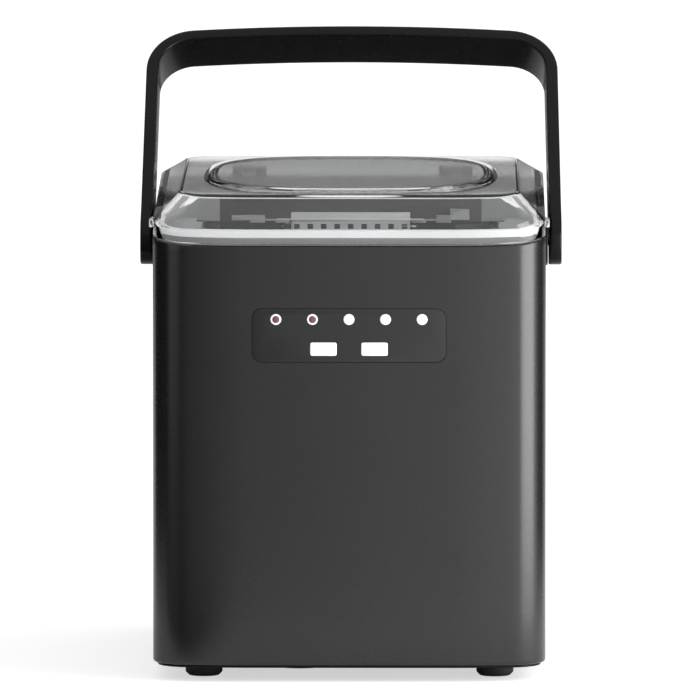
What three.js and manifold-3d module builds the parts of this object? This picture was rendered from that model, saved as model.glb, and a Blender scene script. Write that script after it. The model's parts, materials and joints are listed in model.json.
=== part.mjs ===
// A countertop ice maker with a carrying handle: casing, clear lid, control panel, basket, ice-making
// mechanism and cooling circuit. Millimetres, +Z up, front towards -Y, origin under the middle.
import * as THREE from "three";
import { mergeVertices } from "three/addons/utils/BufferGeometryUtils.js";
import Module from "manifold-3d";

const wasm = await Module();
wasm.setup();

// ---- Driving dimensions ----
const WIDTH = 222;
const DEPTH = 290;
const HALF = WIDTH / 2;
const FRONT = -DEPTH / 2;
const REAR = DEPTH / 2;
const CORNER_R = 22;
const BOW = 2; // how far the front curves back between its flat middle and the corners
const WALL = 2.5;
const GAP = 0.3;
const BASE_Z = 8; // underside of the base, above the feet
const CASING_Z = 9.5;
const CASING_TOP = 246.9; // front edge, before the sweep
const LID_GAP = 0.9;
const RIM_TOP = 256.4;
const LID_TOP = 273.2;
const LID_SLOPE = 15; // how far the top face is set in from the rim
const LID_TOP_R = 15;
const LID_REAR = 125;
const LID_WALL = 2.4;
const HINGE = { y: 130, z: 267 };
const PIVOT = { y: 10, z: 237 }; // handle axis
const HANDLE_LEAN = 43; // degrees behind upright
const HANDLE = { reach: 148.8, width: 26, thick: 7.6, root: 120.8, shoulder: 119, cornerR: 28.5, crown: 3.2 };
const PANEL = { half: 55, low: 181.3, high: 212.2, r: 5.8, recess: 1.2, thick: 0.8 };
const LAMP = { r: 3.1, pitch: 20.6, z: 205.8 };
const BUTTON = { half: 7.5, height: 7.6, x: 14.4, z: 189, thick: 3.4 };
const DECK = { low: 238, high: 242 };
const TANK = { half: 86, front: -125, rear: 54, low: 108, high: 236, wall: 2 };
const BASKET = { half: 70, front: -119, rear: -27, low: 150, high: 229, wall: 2 };
const TRAY = { half: 52, front: -18, rear: 28, low: 182, high: 201, wall: 2 };
const TRAY_AXIS = { y: 28, z: 201 };
const SHOVEL = { y: -22, half: 34, top: 257, low: 206, thick: 2.4, axisZ: 250, pitch: 7.7, slotTop: 238.9 };
const HOOD = { half: 75, front: -17, rear: 60, low: 242.4, high: 267, wall: 2 };
const COMPRESSOR = { x: -50, y: 96, r: 39, low: 26, high: 126 };
const FAN = { y: 99, z: 108, r: 33 };
const DRAIN = { x: -28.5, y: -85, r: 19 };
const FOOT = { x: 82.5, y: 106, r: 10.5 };

// How far the casing's top edge and the lid's rim rise behind the front edge.
const rimSweep = (y) => 3.6 * (1 - Math.exp(-(y - FRONT) / 14)) + 0.035 * (y - FRONT);
// The same for the lid's top face, which is nearly level.
const topSweep = (y) => 2.4 * (1 - Math.exp(-(y - FRONT) / 14)) + 0.0095 * (y - FRONT);

// ---- Materials ----
const plastic = (color, roughness = 0.5) => new THREE.MeshStandardMaterial({ color, roughness, metalness: 0 });
const metal = (color, roughness = 0.35) => new THREE.MeshStandardMaterial({ color, roughness, metalness: 1 });
const MATERIAL = {
  charcoal: plastic(0x3b3b3c, 0.42),
  black: plastic(0x151515, 0.4),
  rubber: plastic(0x101010, 0.85),
  clear: new THREE.MeshStandardMaterial({ color: 0x9a9c9e, roughness: 0.1, transparent: true, opacity: 0.35 }),
  pale: plastic(0xd9dadb, 0.5),
  grey: plastic(0x8c8f92, 0.5),
  dark: plastic(0x2a2c2e, 0.4),
  white: plastic(0xf4f5f5, 0.4),
  lampWhite: plastic(0xe8f1f4, 0.3),
  lampRed: plastic(0x7a3436, 0.3),
  foam: plastic(0xeeeeea, 0.9),
  copper: metal(0xb5703c),
  nickel: metal(0xb9babc, 0.25),
  steel: metal(0x9a9c9f),
  aluminium: metal(0xc2c4c6, 0.45),
  board: plastic(0x1f5a36, 0.5),
};

// ---- Solids ----
function solid(geometry) {
  const bare = geometry.index ? geometry.toNonIndexed() : geometry.clone();
  bare.deleteAttribute("normal");
  bare.deleteAttribute("uv");
  const merged = mergeVertices(bare, 1e-4);
  const index = merged.index.array;
  const kept = [];
  for (let i = 0; i < index.length; i += 3) {
    const [a, b, c] = [index[i], index[i + 1], index[i + 2]];
    if (a !== b && b !== c && c !== a) kept.push(a, b, c);
  }
  return new wasm.Manifold(
    new wasm.Mesh({
      numProp: 3,
      vertProperties: merged.attributes.position.array,
      triVerts: new Uint32Array(kept),
    }),
  );
}

function geometryOf(made) {
  const mesh = made.getMesh();
  const g = new THREE.BufferGeometry();
  g.setAttribute("position", new THREE.BufferAttribute(mesh.vertProperties, 3));
  g.setIndex(new THREE.BufferAttribute(mesh.triVerts, 1));
  return g;
}

const join = (first, ...rest) => rest.reduce((sum, s) => sum.add(s), first);
const cut = (first, ...rest) => rest.reduce((left, s) => left.subtract(s), first);

const block = ([x0, x1], [y0, y1], [z0, z1]) =>
  solid(
    new THREE.BoxGeometry(x1 - x0, y1 - y0, z1 - z0).translate((x0 + x1) / 2, (y0 + y1) / 2, (z0 + z1) / 2),
  );

// A round bar along an axis; at holds its two other coordinates, in X, Y, Z order.
function rod(axis, r, [from, to], at, sides = 20, rEnd = r) {
  const g = new THREE.CylinderGeometry(rEnd, r, to - from, sides);
  const mid = (from + to) / 2;
  if (axis === "x") g.rotateZ(-Math.PI / 2).translate(mid, at[0], at[1]);
  else if (axis === "y") g.translate(at[0], mid, at[1]);
  else g.rotateX(Math.PI / 2).translate(at[0], at[1], mid);
  return solid(g);
}

// A shape drawn in X and Z, made solid between two Y values.
function slabY(shape, y0, y1) {
  const g = new THREE.ExtrudeGeometry(shape, { depth: y1 - y0, bevelEnabled: false, curveSegments: 5 });
  return solid(g.rotateX(Math.PI / 2).translate(0, y1, 0));
}

function roundedShape(x0, x1, z0, z1, r) {
  const s = new THREE.Shape();
  s.moveTo(x0 + r, z0);
  s.lineTo(x1 - r, z0);
  s.absarc(x1 - r, z0 + r, r, -Math.PI / 2, 0);
  s.lineTo(x1, z1 - r);
  s.absarc(x1 - r, z1 - r, r, 0, Math.PI / 2);
  s.lineTo(x0 + r, z1);
  s.absarc(x0 + r, z1 - r, r, Math.PI / 2, Math.PI);
  s.lineTo(x0, z0 + r);
  s.absarc(x0 + r, z0 + r, r, Math.PI, 1.5 * Math.PI);
  return s;
}

const lathe = (profile, sides) =>
  solid(
    new THREE.LatheGeometry(
      profile.map(([r, z]) => new THREE.Vector2(r, z)),
      sides,
    ).rotateX(Math.PI / 2),
  );

function tube(points, r, steps, sides = 8) {
  const circle = new THREE.Shape().absarc(0, 0, r, 0, 2 * Math.PI);
  const path = new THREE.CatmullRomCurve3(points.map((p) => new THREE.Vector3(...p)));
  return solid(
    new THREE.ExtrudeGeometry(circle, {
      extrudePath: path,
      steps,
      curveSegments: sides / 2,
      bevelEnabled: false,
    }),
  );
}

// ---- Swept outlines ----
const ARC_STEPS = 5;
const SIDE_STEPS = 9;

// The right half of a rounded rectangle seen from above, front to rear, with a bowed front.
function halfOutline({ half, front, rear, r, bow = 0 }) {
  const flat = (half - r) * 0.66;
  const points = [
    [flat, front],
    [(flat + half - r) / 2, front + bow * 0.35],
    [half - r, front + bow],
  ];
  const arc = (cy, from) => {
    for (let i = 1; i <= ARC_STEPS; i++) {
      const a = from + (Math.PI / 2) * (i / ARC_STEPS);
      points.push([half - r + r * Math.cos(a), cy + r * Math.sin(a)]);
    }
  };
  arc(front + bow + r, -Math.PI / 2);
  const [y0, y1] = [front + bow + r, rear - r];
  for (let i = 1; i < SIDE_STEPS; i++) points.push([half, y0 + (y1 - y0) * (i / SIDE_STEPS) ** 1.4]);
  points.push([half, y1]);
  arc(rear - r, 0);
  return points;
}

// A closed solid through symmetric rings: each level is an outline and the height of its edge at each y.
function swept(levels) {
  const rings = levels.map(({ outline, z }) => {
    const right = halfOutline(outline).map(([x, y]) => [x, y, z(y)]);
    return [...right, ...right.map(([x, y, h]) => [-x, y, h]).reverse()];
  });
  const n = rings[0].length;
  const index = [];
  const quad = (a, b, c, d) => index.push(a, b, c, a, c, d);
  for (let k = 0; k + 1 < rings.length; k++) {
    for (let i = 0; i < n; i++) {
      const j = (i + 1) % n;
      quad(k * n + i, k * n + j, (k + 1) * n + j, (k + 1) * n + i);
    }
  }
  const top = (rings.length - 1) * n;
  for (let i = 0; i + 1 < n / 2; i++) {
    const [a, b, c, d] = [i, i + 1, n - 2 - i, n - 1 - i];
    quad(d, c, b, a);
    quad(top + a, top + b, top + c, top + d);
  }
  const g = new THREE.BufferGeometry();
  g.setAttribute("position", new THREE.Float32BufferAttribute(rings.flat(2), 3));
  g.setIndex(index);
  return solid(g);
}

const level = (z) => () => z;
const bodyOutline = (inset) => ({
  half: HALF - inset,
  front: FRONT + inset,
  rear: REAR - inset,
  r: CORNER_R - inset,
  bow: BOW,
});

// ---- Casing ----
const VENT = { front: 62, rear: 134, low: 42, count: 13, pitch: 10, height: 4 };
const REAR_PANEL = { half: 90, low: 20, high: 234, r: 8, thick: 2.5, face: 143.4 };
const ventZ = (i) => VENT.low + i * VENT.pitch;

function outerCasing() {
  const edge = (y) => CASING_TOP + rimSweep(y);
  const outside = swept([
    { outline: bodyOutline(1.2), z: level(CASING_Z) },
    { outline: bodyOutline(0), z: level(CASING_Z + 1.8) },
    { outline: bodyOutline(0), z: edge },
  ]);
  const inside = swept([
    { outline: bodyOutline(WALL), z: level(CASING_Z - 5) },
    { outline: bodyOutline(WALL), z: level(CASING_TOP + 40) },
  ]);
  let made = cut(outside, inside);
  const panel = roundedShape(-PANEL.half, PANEL.half, PANEL.low, PANEL.high, PANEL.r);
  made = cut(made, slabY(panel, FRONT - 1, FRONT + PANEL.recess));
  for (const x of [-BUTTON.x, BUTTON.x]) {
    const [w, h] = [BUTTON.half + GAP, BUTTON.height / 2 + GAP];
    made = cut(made, block([x - w, x + w], [FRONT - 1, FRONT + 5], [BUTTON.z - h, BUTTON.z + h]));
  }
  for (let i = -2; i <= 2; i++) {
    made = cut(made, rod("y", LAMP.r + GAP, [FRONT - 1, FRONT + 5], [i * LAMP.pitch, LAMP.z], 12));
  }
  for (let i = 0; i < VENT.count; i++) {
    const z = ventZ(i);
    made = cut(made, block([-HALF - 1, HALF + 1], [VENT.front, VENT.rear - 12], [z, z + VENT.height]));
  }
  const back = roundedShape(
    -REAR_PANEL.half,
    REAR_PANEL.half,
    REAR_PANEL.low,
    REAR_PANEL.high,
    REAR_PANEL.r,
  );
  made = cut(made, slabY(back, REAR - 6, REAR + 1));
  return cut(made, rod("x", 4, [-HALF - 1, HALF + 1], [PIVOT.y, PIVOT.z], 14));
}

const GLAND = { x: 62, z: 44, r: 8 };
const SCREW = { x: 80, z: 29, head: 4, shank: 1.7 };

function rearCover() {
  const { half, low, high, r, thick, face } = REAR_PANEL;
  let made = slabY(roundedShape(-half + GAP, half - GAP, low + GAP, high - GAP, r - GAP), face - thick, face);
  for (let i = 0; i < 9; i++) {
    const z = 70 + i * 14;
    made = cut(made, block([-60, -4], [face - 5, face + 1], [z, z + 4.5]));
    made = cut(made, block([4, 60], [face - 5, face + 1], [z, z + 4.5]));
  }
  made = cut(made, rod("y", GLAND.r, [face - 5, face + 1], [GLAND.x, GLAND.z], 20));
  for (const x of [-SCREW.x, SCREW.x]) {
    made = cut(made, rod("y", SCREW.shank + GAP, [face - 5, face + 1], [x, SCREW.z], 10));
  }
  return made;
}

function cordGland() {
  const { face, thick } = REAR_PANEL;
  const at = [GLAND.x, GLAND.z];
  const collar = join(
    rod("y", GLAND.r - GAP, [face - thick - 6, face + 0.2], at),
    rod("y", GLAND.r + 3, [face + 0.3 - 0.15, REAR], at, 20, GLAND.r + 1),
  );
  return cut(collar, rod("y", 3.6, [face - 20, REAR + 5], at, 14));
}

function rearScrew() {
  const { face, thick } = REAR_PANEL;
  const head = rod("y", SCREW.head, [face + GAP, face + 1.5], [0, 0], 14, SCREW.head - 0.8);
  const shank = rod("y", SCREW.shank, [face - thick - 3, face + 1], [0, 0], 8);
  const slots = [
    block([-2.4, 2.4], [face + 0.8, face + 4], [-0.4, 0.4]),
    block([-0.4, 0.4], [face + 0.8, face + 4], [-2.4, 2.4]),
  ];
  return cut(join(head, shank), ...slots);
}

function baseTray() {
  const floor = swept([
    { outline: bodyOutline(2.6), z: level(BASE_Z) },
    { outline: bodyOutline(2.6), z: level(CASING_Z - GAP) },
  ]);
  const pan = swept([
    { outline: bodyOutline(WALL + GAP), z: level(CASING_Z - 0.6) },
    { outline: bodyOutline(WALL + GAP), z: level(18) },
  ]);
  const hollow = swept([
    { outline: bodyOutline(WALL + GAP + 2), z: level(12) },
    { outline: bodyOutline(WALL + GAP + 2), z: level(30) },
  ]);
  const neck = rod("z", 12, [BASE_Z - 5, 30], [DRAIN.x, DRAIN.y], 24);
  return cut(join(floor, pan), hollow, neck);
}

function foot() {
  const r = FOOT.r;
  return lathe([[0, 0], [r - 2, 0], [r, 2], [r, BASE_Z - GAP], [0, BASE_Z - GAP]], 20);
}

// ---- Drain ----
function drainCap() {
  const r = DRAIN.r;
  const cap = lathe([[0, 3], [r - 2.5, 3], [r - 0.8, 3.6], [r, 5], [r, BASE_Z - 1.5], [0, BASE_Z - 1.5]], 28);
  const plug = rod("z", 8.2, [BASE_Z - 2, 21], [0, 0], 20);
  const grip = block([-13, 13], [-1.6, 1.6], [1.6, 3.4]);
  return join(cap, plug, grip);
}

function drainSeal() {
  return cut(rod("z", 11.2, [7.4, 8.2], [0, 0], 24), rod("z", 8.8, [6, 10], [0, 0], 24));
}

function drainPipe() {
  const outer = join(rod("z", 11.4, [9.2, 60], [0, 0], 20), rod("z", 7, [58, TANK.low - GAP], [0, 0], 16));
  return cut(outer, rod("z", 9.2, [5, 58], [0, 0], 20), rod("z", 5, [50, TANK.low + 5], [0, 0], 16));
}

// ---- Top frame and lid ----
const BASIN = { half: 85, front: -122, rear: 51 };
const KNUCKLE = { x: 60, half: 3.5, r: 3.4, ear: 6 };

function topFrame() {
  const deckOutline = bodyOutline(WALL + GAP);
  const lipTop = (y) => RIM_TOP - 1.8 + rimSweep(y) - 4 * Math.max(0, Math.min(1, (y - 60) / 45));
  const lipOutline = (extra) => ({
    half: HALF - 3.6 - extra,
    front: FRONT + 3.6 + extra,
    rear: LID_REAR - 4 - extra,
    r: CORNER_R - 3.6 - extra,
    bow: BOW,
  });
  const deck = swept([
    { outline: deckOutline, z: level(DECK.low) },
    { outline: deckOutline, z: level(DECK.high) },
  ]);
  const lip = cut(
    swept([
      { outline: lipOutline(0), z: level(DECK.low + 1) },
      { outline: lipOutline(0), z: lipTop },
    ]),
    swept([
      { outline: lipOutline(2), z: level(DECK.low - 2) },
      { outline: lipOutline(2), z: level(LID_TOP + 20) },
    ]),
  );
  const rearTop = rimSweep(LID_REAR) + CASING_TOP - 3.4;
  const shelf = block([-88, 88], [LID_REAR - 6.2, REAR - 6.6], [DECK.low + 1, rearTop]);
  const ears = [];
  for (const side of [-1, 1]) {
    for (const inner of [-1, 1]) {
      const x = side * KNUCKLE.x + inner * (KNUCKLE.half + GAP + KNUCKLE.ear / 2);
      const span = [x - KNUCKLE.ear / 2, x + KNUCKLE.ear / 2];
      ears.push(rod("x", KNUCKLE.r, span, [HINGE.y, HINGE.z], 16));
      ears.push(block(span, [HINGE.y - KNUCKLE.r + 0.4, HINGE.y + KNUCKLE.r], [rearTop - 1, HINGE.z]));
    }
  }
  const bores = [-1, 1].map((side) => {
    const x = side * KNUCKLE.x;
    return rod("x", 1.95, [x - 12, x + 12], [HINGE.y, HINGE.z], 12);
  });
  const basin = block([-BASIN.half, BASIN.half], [BASIN.front, BASIN.rear], [DECK.low - 3, DECK.high + 3]);
  const bossRoom = [-1, 1].map((side) => {
    const [a, b] = [side * 97, side * (HALF + 5)].sort((p, q) => p - q);
    return rod("x", 6.4, [a, b], [PIVOT.y, PIVOT.z], 14);
  });
  const lugRoom = [-1, 1].map((side) => {
    const span = [side * KNUCKLE.x - KNUCKLE.half - GAP, side * KNUCKLE.x + KNUCKLE.half + GAP];
    return block(span, [HINGE.y - 12, HINGE.y + 5], [rearTop - 1.4, rearTop + 3]);
  });
  return cut(join(deck, lip, shelf, ...ears), ...bores, basin, ...lugRoom, ...bossRoom);
}

const lidOutline = (inset, r) => ({
  half: HALF - GAP - inset,
  front: FRONT + GAP + inset,
  rear: LID_REAR - inset,
  r,
  bow: BOW,
});
const DOME = { half: 83.5, mid: -10, reach: 106, power: 3, rise: 1.8, fillet: 2.6 };

function domeSolid(inset, low, high) {
  const outline = (shrink) => {
    const right = [];
    for (let i = 0; i <= 12; i++) {
      const a = -Math.PI / 2 + (Math.PI * (i + 0.5)) / 13;
      const [c, s] = [Math.cos(a), Math.sin(a)];
      const x = (DOME.half - shrink) * c ** (2 / DOME.power);
      const y = DOME.mid + (DOME.reach - shrink) * Math.sign(s) * Math.abs(s) ** (2 / DOME.power);
      right.push([x, y]);
    }
    return [...right, ...right.map(([x, y]) => [-x, y]).reverse()];
  };
  const rings = [
    outline(inset).map(([x, y]) => [x, y, low(y)]),
    outline(inset).map(([x, y]) => [x, y, high(y) - DOME.rise]),
    outline(inset + DOME.fillet).map(([x, y]) => [x, y, high(y)]),
  ];
  const n = rings[0].length;
  const index = [];
  const quad = (a, b, c, d) => index.push(a, b, c, a, c, d);
  for (let k = 0; k < 2; k++) {
    for (let i = 0; i < n; i++) {
      const next = (i + 1) % n;
      quad(k * n + i, k * n + next, (k + 1) * n + next, (k + 1) * n + i);
    }
  }
  for (let i = 0; i + 1 < n / 2; i++) {
    quad(n - 1 - i, n - 2 - i, i + 1, i);
    quad(2 * n + i, 2 * n + i + 1, 3 * n - 2 - i, 3 * n - 1 - i);
  }
  const g = new THREE.BufferGeometry();
  g.setAttribute("position", new THREE.Float32BufferAttribute(rings.flat(2), 3));
  g.setIndex(index);
  return solid(g);
}

function lid() {
  const low = (y) => CASING_TOP + LID_GAP + rimSweep(y);
  const rim = (y) => RIM_TOP + rimSweep(y);
  const top = (y) => LID_TOP + topSweep(y);
  const outside = swept([
    { outline: lidOutline(0, CORNER_R), z: low },
    { outline: lidOutline(0, CORNER_R), z: rim },
    { outline: lidOutline(LID_SLOPE, LID_TOP_R), z: top },
  ]);
  const t = LID_WALL;
  const inside = swept([
    { outline: lidOutline(t, CORNER_R - t), z: (y) => low(y) - 3 },
    { outline: lidOutline(t, CORNER_R - t), z: (y) => rim(y) - t * 0.4 },
    { outline: lidOutline(LID_SLOPE + t * 0.5, LID_TOP_R), z: (y) => top(y) - t },
  ]);
  const dome = domeSolid(0, (y) => top(y) - 1.2, (y) => top(y) + DOME.rise);
  const under = domeSolid(4, (y) => top(y) - t - 2, (y) => top(y) + DOME.rise - t);
  const tabs = [-1, 1].map((side) => {
    const [a, b] = [side * (HALF - 1.2), side * (HALF + 1.3)].sort((p, q) => p - q);
    return block([a, b], [FRONT + 24, FRONT + 42], [RIM_TOP - 0.6, RIM_TOP + 4]);
  });
  const lugs = [-1, 1].flatMap((side) => {
    const span = [side * KNUCKLE.x - KNUCKLE.half, side * KNUCKLE.x + KNUCKLE.half];
    return [
      rod("x", KNUCKLE.r, span, [HINGE.y, HINGE.z], 16),
      block(span, [LID_REAR - 2, HINGE.y], [HINGE.z - 2.6, HINGE.z + 2.6]),
    ];
  });
  const bores = [-1, 1].map((side) => {
    const span = [side * KNUCKLE.x - 6, side * KNUCKLE.x + 6];
    return rod("x", 1.95, span, [HINGE.y, HINGE.z], 12);
  });
  return cut(join(cut(join(outside, dome), inside, under), ...tabs, ...lugs), ...bores);
}

// ---- Handle ----
// Drawn in X and Z with its axis on the X axis, standing upright.
function carryHandle() {
  const { reach, width, thick, root, shoulder, cornerR, crown } = HANDLE;
  const bail = (out, inner) => {
    const [top, side, foot] = [reach - inner, shoulder - inner, root - inner];
    const r = cornerR - out;
    const edge = top - crown;
    const s = new THREE.Shape();
    s.moveTo(-foot, 0);
    s.lineTo(-side, edge - r);
    const turn = Math.PI * 0.47;
    s.absarc(-side + r, edge - r, r, Math.PI, Math.PI - turn, true);
    s.quadraticCurveTo(0, top + crown, side - r + r * Math.cos(turn), edge - r + r * Math.sin(turn));
    s.absarc(side - r, edge - r, r, turn, 0, true);
    s.lineTo(foot, 0);
    s.closePath();
    return s;
  };
  const outer = slabY(bail(0, 0), -width / 2, width / 2);
  const inner = slabY(bail(thick * 0.6, thick), -width, width);
  const discs = [-1, 1].map((side) => {
    const [a, b] = [side * (root - thick), side * root].sort((p, q) => p - q);
    return rod("x", width / 2 + 0.5, [a, b], [0, 0], 24);
  });
  const room = block([-root + thick, root - thick], [-width, width], [-20, 20]);
  const bores = rod("x", 3.4, [-root - 5, root + 5], [0, 0], 14);
  const heads = [-1, 1].map((side) => {
    const [a, b] = [side * (root - 2.4), side * (root + 2)].sort((p, q) => p - q);
    return rod("x", 6.4, [a, b], [0, 0], 18);
  });
  return cut(join(cut(outer, inner, room), ...discs), bores, ...heads);
}

function pivotPlate(side) {
  const [a, b] = [side * (HALF + GAP * 0.5), side * (HALF + 1.9)].sort((p, q) => p - q);
  const [c, d] = [side * (HALF - 6), side * (HALF + 1)].sort((p, q) => p - q);
  const made = join(rod("x", 13.8, [a, b], [0, 0], 28), rod("x", 3.7, [c, d], [0, 0], 14));
  return cut(made, rod("x", 2.3, [side > 0 ? 90 : -130, side > 0 ? 130 : -90], [0, 0], 12));
}

function pivotScrew(side) {
  const span = (from, to) => [side * from, side * to].sort((p, q) => p - q);
  const head = rod("x", 6, span(HANDLE.root - 2.1, HANDLE.root - 0.3), [0, 0], 18);
  const shoulder = rod("x", 3, span(HALF + 2.1, HANDLE.root - 2), [0, 0], 12);
  const shank = rod("x", 2, span(HALF - 12, HALF + 2.2), [0, 0], 12);
  const slot = block(span(HANDLE.root - 1.2, HANDLE.root + 2), [-0.5, 0.5], [-4, 4]);
  return cut(join(head, shoulder, shank), slot);
}

// ---- Control panel ----
const OVERLAY_FACE = FRONT + PANEL.recess - PANEL.thick;

function controlOverlay() {
  const { half, low, high, r } = PANEL;
  const back = FRONT + PANEL.recess - 0.05;
  const outline = roundedShape(-half + GAP, half - GAP, low + GAP, high - GAP, r - GAP);
  let made = slabY(outline, OVERLAY_FACE, back - 0.1);
  for (const x of [-BUTTON.x, BUTTON.x]) {
    const [w, h] = [BUTTON.half + GAP, BUTTON.height / 2 + GAP];
    const window = roundedShape(x - w, x + w, BUTTON.z - h, BUTTON.z + h, 1.4);
    made = cut(made, slabY(window, FRONT - 2, FRONT + 4));
  }
  for (let i = -2; i <= 2; i++) {
    made = cut(made, rod("y", LAMP.r + GAP, [FRONT - 2, FRONT + 4], [i * LAMP.pitch, LAMP.z], 16));
  }
  return made;
}

function pushButton() {
  const [w, h] = [BUTTON.half, BUTTON.height / 2];
  const cap = slabY(roundedShape(-w, w, -h, h, 1.2), 0, BUTTON.thick);
  return join(cap, rod("y", 1.8, [BUTTON.thick - 0.5, 4.6], [0, 0], 12));
}

const lampLens = () => rod("y", LAMP.r, [FRONT + 0.25, FRONT + 5], [0, LAMP.z], 20);

function displayBoard() {
  let made = block([-50, 50], [FRONT + 6.4, FRONT + 8], [178, 216]);
  for (const x of [-BUTTON.x, BUTTON.x]) {
    made = join(made, block([x - 3, x + 3], [FRONT + 5.6, FRONT + 7], [BUTTON.z - 3, BUTTON.z + 3]));
  }
  made = join(made, block([26, 44], [FRONT + 7.5, FRONT + 12], [182, 192]));
  return made;
}

// ---- Water and ice ----
function waterTank() {
  const { half, front, rear, low, high, wall } = TANK;
  const box = block([-half, half], [front, rear], [low, high]);
  const flange = block([-half - 5, half + 5], [front - 5, rear + 2.4], [high - 1, DECK.low - GAP]);
  const hollow = block([-half + wall, half - wall], [front + wall, rear - wall], [low + wall, high + 10]);
  const ledge = (side) => {
    const [a, b] = [side * 78, side * (half - 1)].sort((p, q) => p - q);
    return block([a, b], [front + 1, BASKET.rear + 2], [214, BASKET.high - 6.4]);
  };
  const made = cut(join(box, flange), hollow);
  const spout = rod("z", 5, [low - 5, low + 5], [DRAIN.x, DRAIN.y], 16);
  const pipes = block([-42, -18], [rear - 5, rear + 5], [221, 234]);
  return cut(join(made, ledge(-1), ledge(1)), spout, pipes);
}

function insulationShell() {
  const { half, front, rear, low } = TANK;
  const outer = block([-half - 7, half + 7], [front - 6, rear + 2.6], [low - 10, 205]);
  const inner = block([-half - GAP, half + GAP], [front - GAP, rear + GAP], [low - GAP, 210]);
  return cut(outer, inner, rod("z", 8, [low - 15, low + 5], [DRAIN.x, DRAIN.y], 16));
}

function iceBasket() {
  const { half, front, rear, low, high, wall } = BASKET;
  let made = cut(
    block([-half, half], [front, rear], [low, high]),
    block([-half + wall, half - wall], [front + wall, rear - wall], [low + wall, high + 5]),
    block([-half + 8, half - 8], [rear - wall - 1, rear + 1], [200, high + 5]),
  );
  const rims = [-1, 1].map((side) => {
    const [a, b] = [side * (half - 1), side * 82].sort((p, q) => p - q);
    return block([a, b], [front, rear], [high - 6, high - 4]);
  });
  made = join(made, ...rims);
  for (const x of [-42, -14, 14, 42]) {
    made = cut(made, block([x - 3, x + 3], [front - 2, front + wall + 1], [low + 14, high - 16]));
    made = cut(made, block([x - 2.5, x + 2.5], [front + 14, rear - 14], [low - 2, low + wall + 1]));
  }
  return made;
}

const FINGER = { r: 6, low: 189, plate: 222, rows: [[-7, 5], [13, 4]], pitch: 20 };

const COIL_Z = 229.4;
const COIL = [[-36, 27], [-36, 8], [-30, 0], [34, 0], [38, 4], [34, 8], [-16, 8], [-24, 15], [-24, 27]];

function evaporator() {
  let made = block([-50, 50], [-15, 24], [FINGER.plate, FINGER.plate + 5]);
  for (const [y, count] of FINGER.rows) {
    for (let i = 0; i < count; i++) {
      const x = (i - (count - 1) / 2) * FINGER.pitch;
      const { r, low, plate } = FINGER;
      const finger = lathe([[0, low], [r * 0.6, low + 1], [r, low + 5], [r, plate + 1], [0, plate + 1]], 12);
      made = join(made, finger.translate([x, y, 0]));
    }
  }
  return join(made, tube(COIL.map(([x, y]) => [x, y, COIL_Z]), 2.6, 26, 6));
}

function waterTray() {
  const { half, front, rear, low, high, wall } = TRAY;
  const box = cut(
    block([-half, half], [front, rear], [low, high]),
    block([-half + wall, half - wall], [front + wall, rear - wall], [low + wall, high + 5]),
  );
  const shaft = [-1, 1].map((side) => {
    const [a, b] = [side * (half - 1), side * (half + 5)].sort((p, q) => p - q);
    return rod("x", 3, [a, b], [TRAY_AXIS.y, TRAY_AXIS.z], 14);
  });
  const gussets = [-1, 1].map((side) => {
    const [a, b] = [side * (half - wall), side * half].sort((p, q) => p - q);
    return rod("x", 6, [a, b], [TRAY_AXIS.y, TRAY_AXIS.z], 16);
  });
  return join(box, ...shaft, ...gussets);
}

// The geared motor that turns the tray, and the bearing block at the other end.
function trayMotor() {
  const box = block([TRAY.half + 3.4, TANK.half - TANK.wall - GAP], [14, 42], [188, 216]);
  const shaftRoom = rod("x", 3.4, [TRAY.half - 2, TRAY.half + 6], [TRAY_AXIS.y, TRAY_AXIS.z], 14);
  return cut(join(box, rod("x", 10, [60, 80], [28, 222], 18)), shaftRoom);
}

function trayBearing() {
  const box = block([-TANK.half + TANK.wall + GAP, -TRAY.half - 3.4], [20, 36], [192, 210]);
  return cut(box, rod("x", 3.4, [-TRAY.half - 6, -TRAY.half + 2], [TRAY_AXIS.y, TRAY_AXIS.z], 14));
}

// A comb that swings forward from its top bar and pushes the ice into the basket. Its axis is the X axis.
function iceShovel() {
  const { half, top, low, thick, axisZ, pitch } = SHOVEL;
  let made = block([-half, half], [-thick / 2, thick / 2], [low - axisZ, top - axisZ]);
  for (let i = -4; i <= 4; i++) {
    const across = [i * pitch - 1.6, i * pitch + 1.6];
    made = cut(made, block(across, [-5, 5], [low - axisZ - 5, SHOVEL.slotTop - axisZ]));
  }
  const bar = rod("x", 2.6, [-half - 8, half + 8], [0, 0], 12);
  return join(made, bar);
}

// Stepped holders on both sides of the comb, fixed to the hood.
function shovelBracket(side) {
  const span = (from, to) => [side * from, side * to].sort((p, q) => p - q);
  const [y0, y1] = [SHOVEL.y - 3.5, HOOD.front - GAP];
  const wing = side > 0 ? [249.6, 259] : [248, 255.2];
  const made = join(
    block(span(35, 43), [y0, y1], [242.4, 250.4]),
    block(span(42, 50), [y0, y1], [247, 251.6]),
    block(span(49, 57.5), [y0, y1], [242.4, 255.2]),
    block(span(57, 68), [y0, y1], wing),
  );
  const bearing = rod("x", 3, span(30, 43), [SHOVEL.y, SHOVEL.axisZ], 12);
  const mouth = block(span(30, 43), [SHOVEL.y - 3, SHOVEL.y + 3], [SHOVEL.axisZ, 262]);
  return cut(made, bearing, mouth);
}

function evaporatorHood() {
  const { half, front, rear, low, high, wall } = HOOD;
  const shell = cut(
    block([-half, half], [front, rear], [low, high]),
    block([-half + wall, half - wall], [front + wall, rear - wall], [low - 5, high - wall]),
  );
  const shelf = block([-BASIN.half - 4, BASIN.half + 4], [rear - 8, rear], [low, low + 2]);
  const foot = (side) => {
    const [a, b] = [side * (half - 1), side * (BASIN.half + 4)].sort((p, q) => p - q);
    return block([a, b], [front, rear], [low, low + 2]);
  };
  return join(shell, shelf, foot(-1), foot(1));
}

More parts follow.
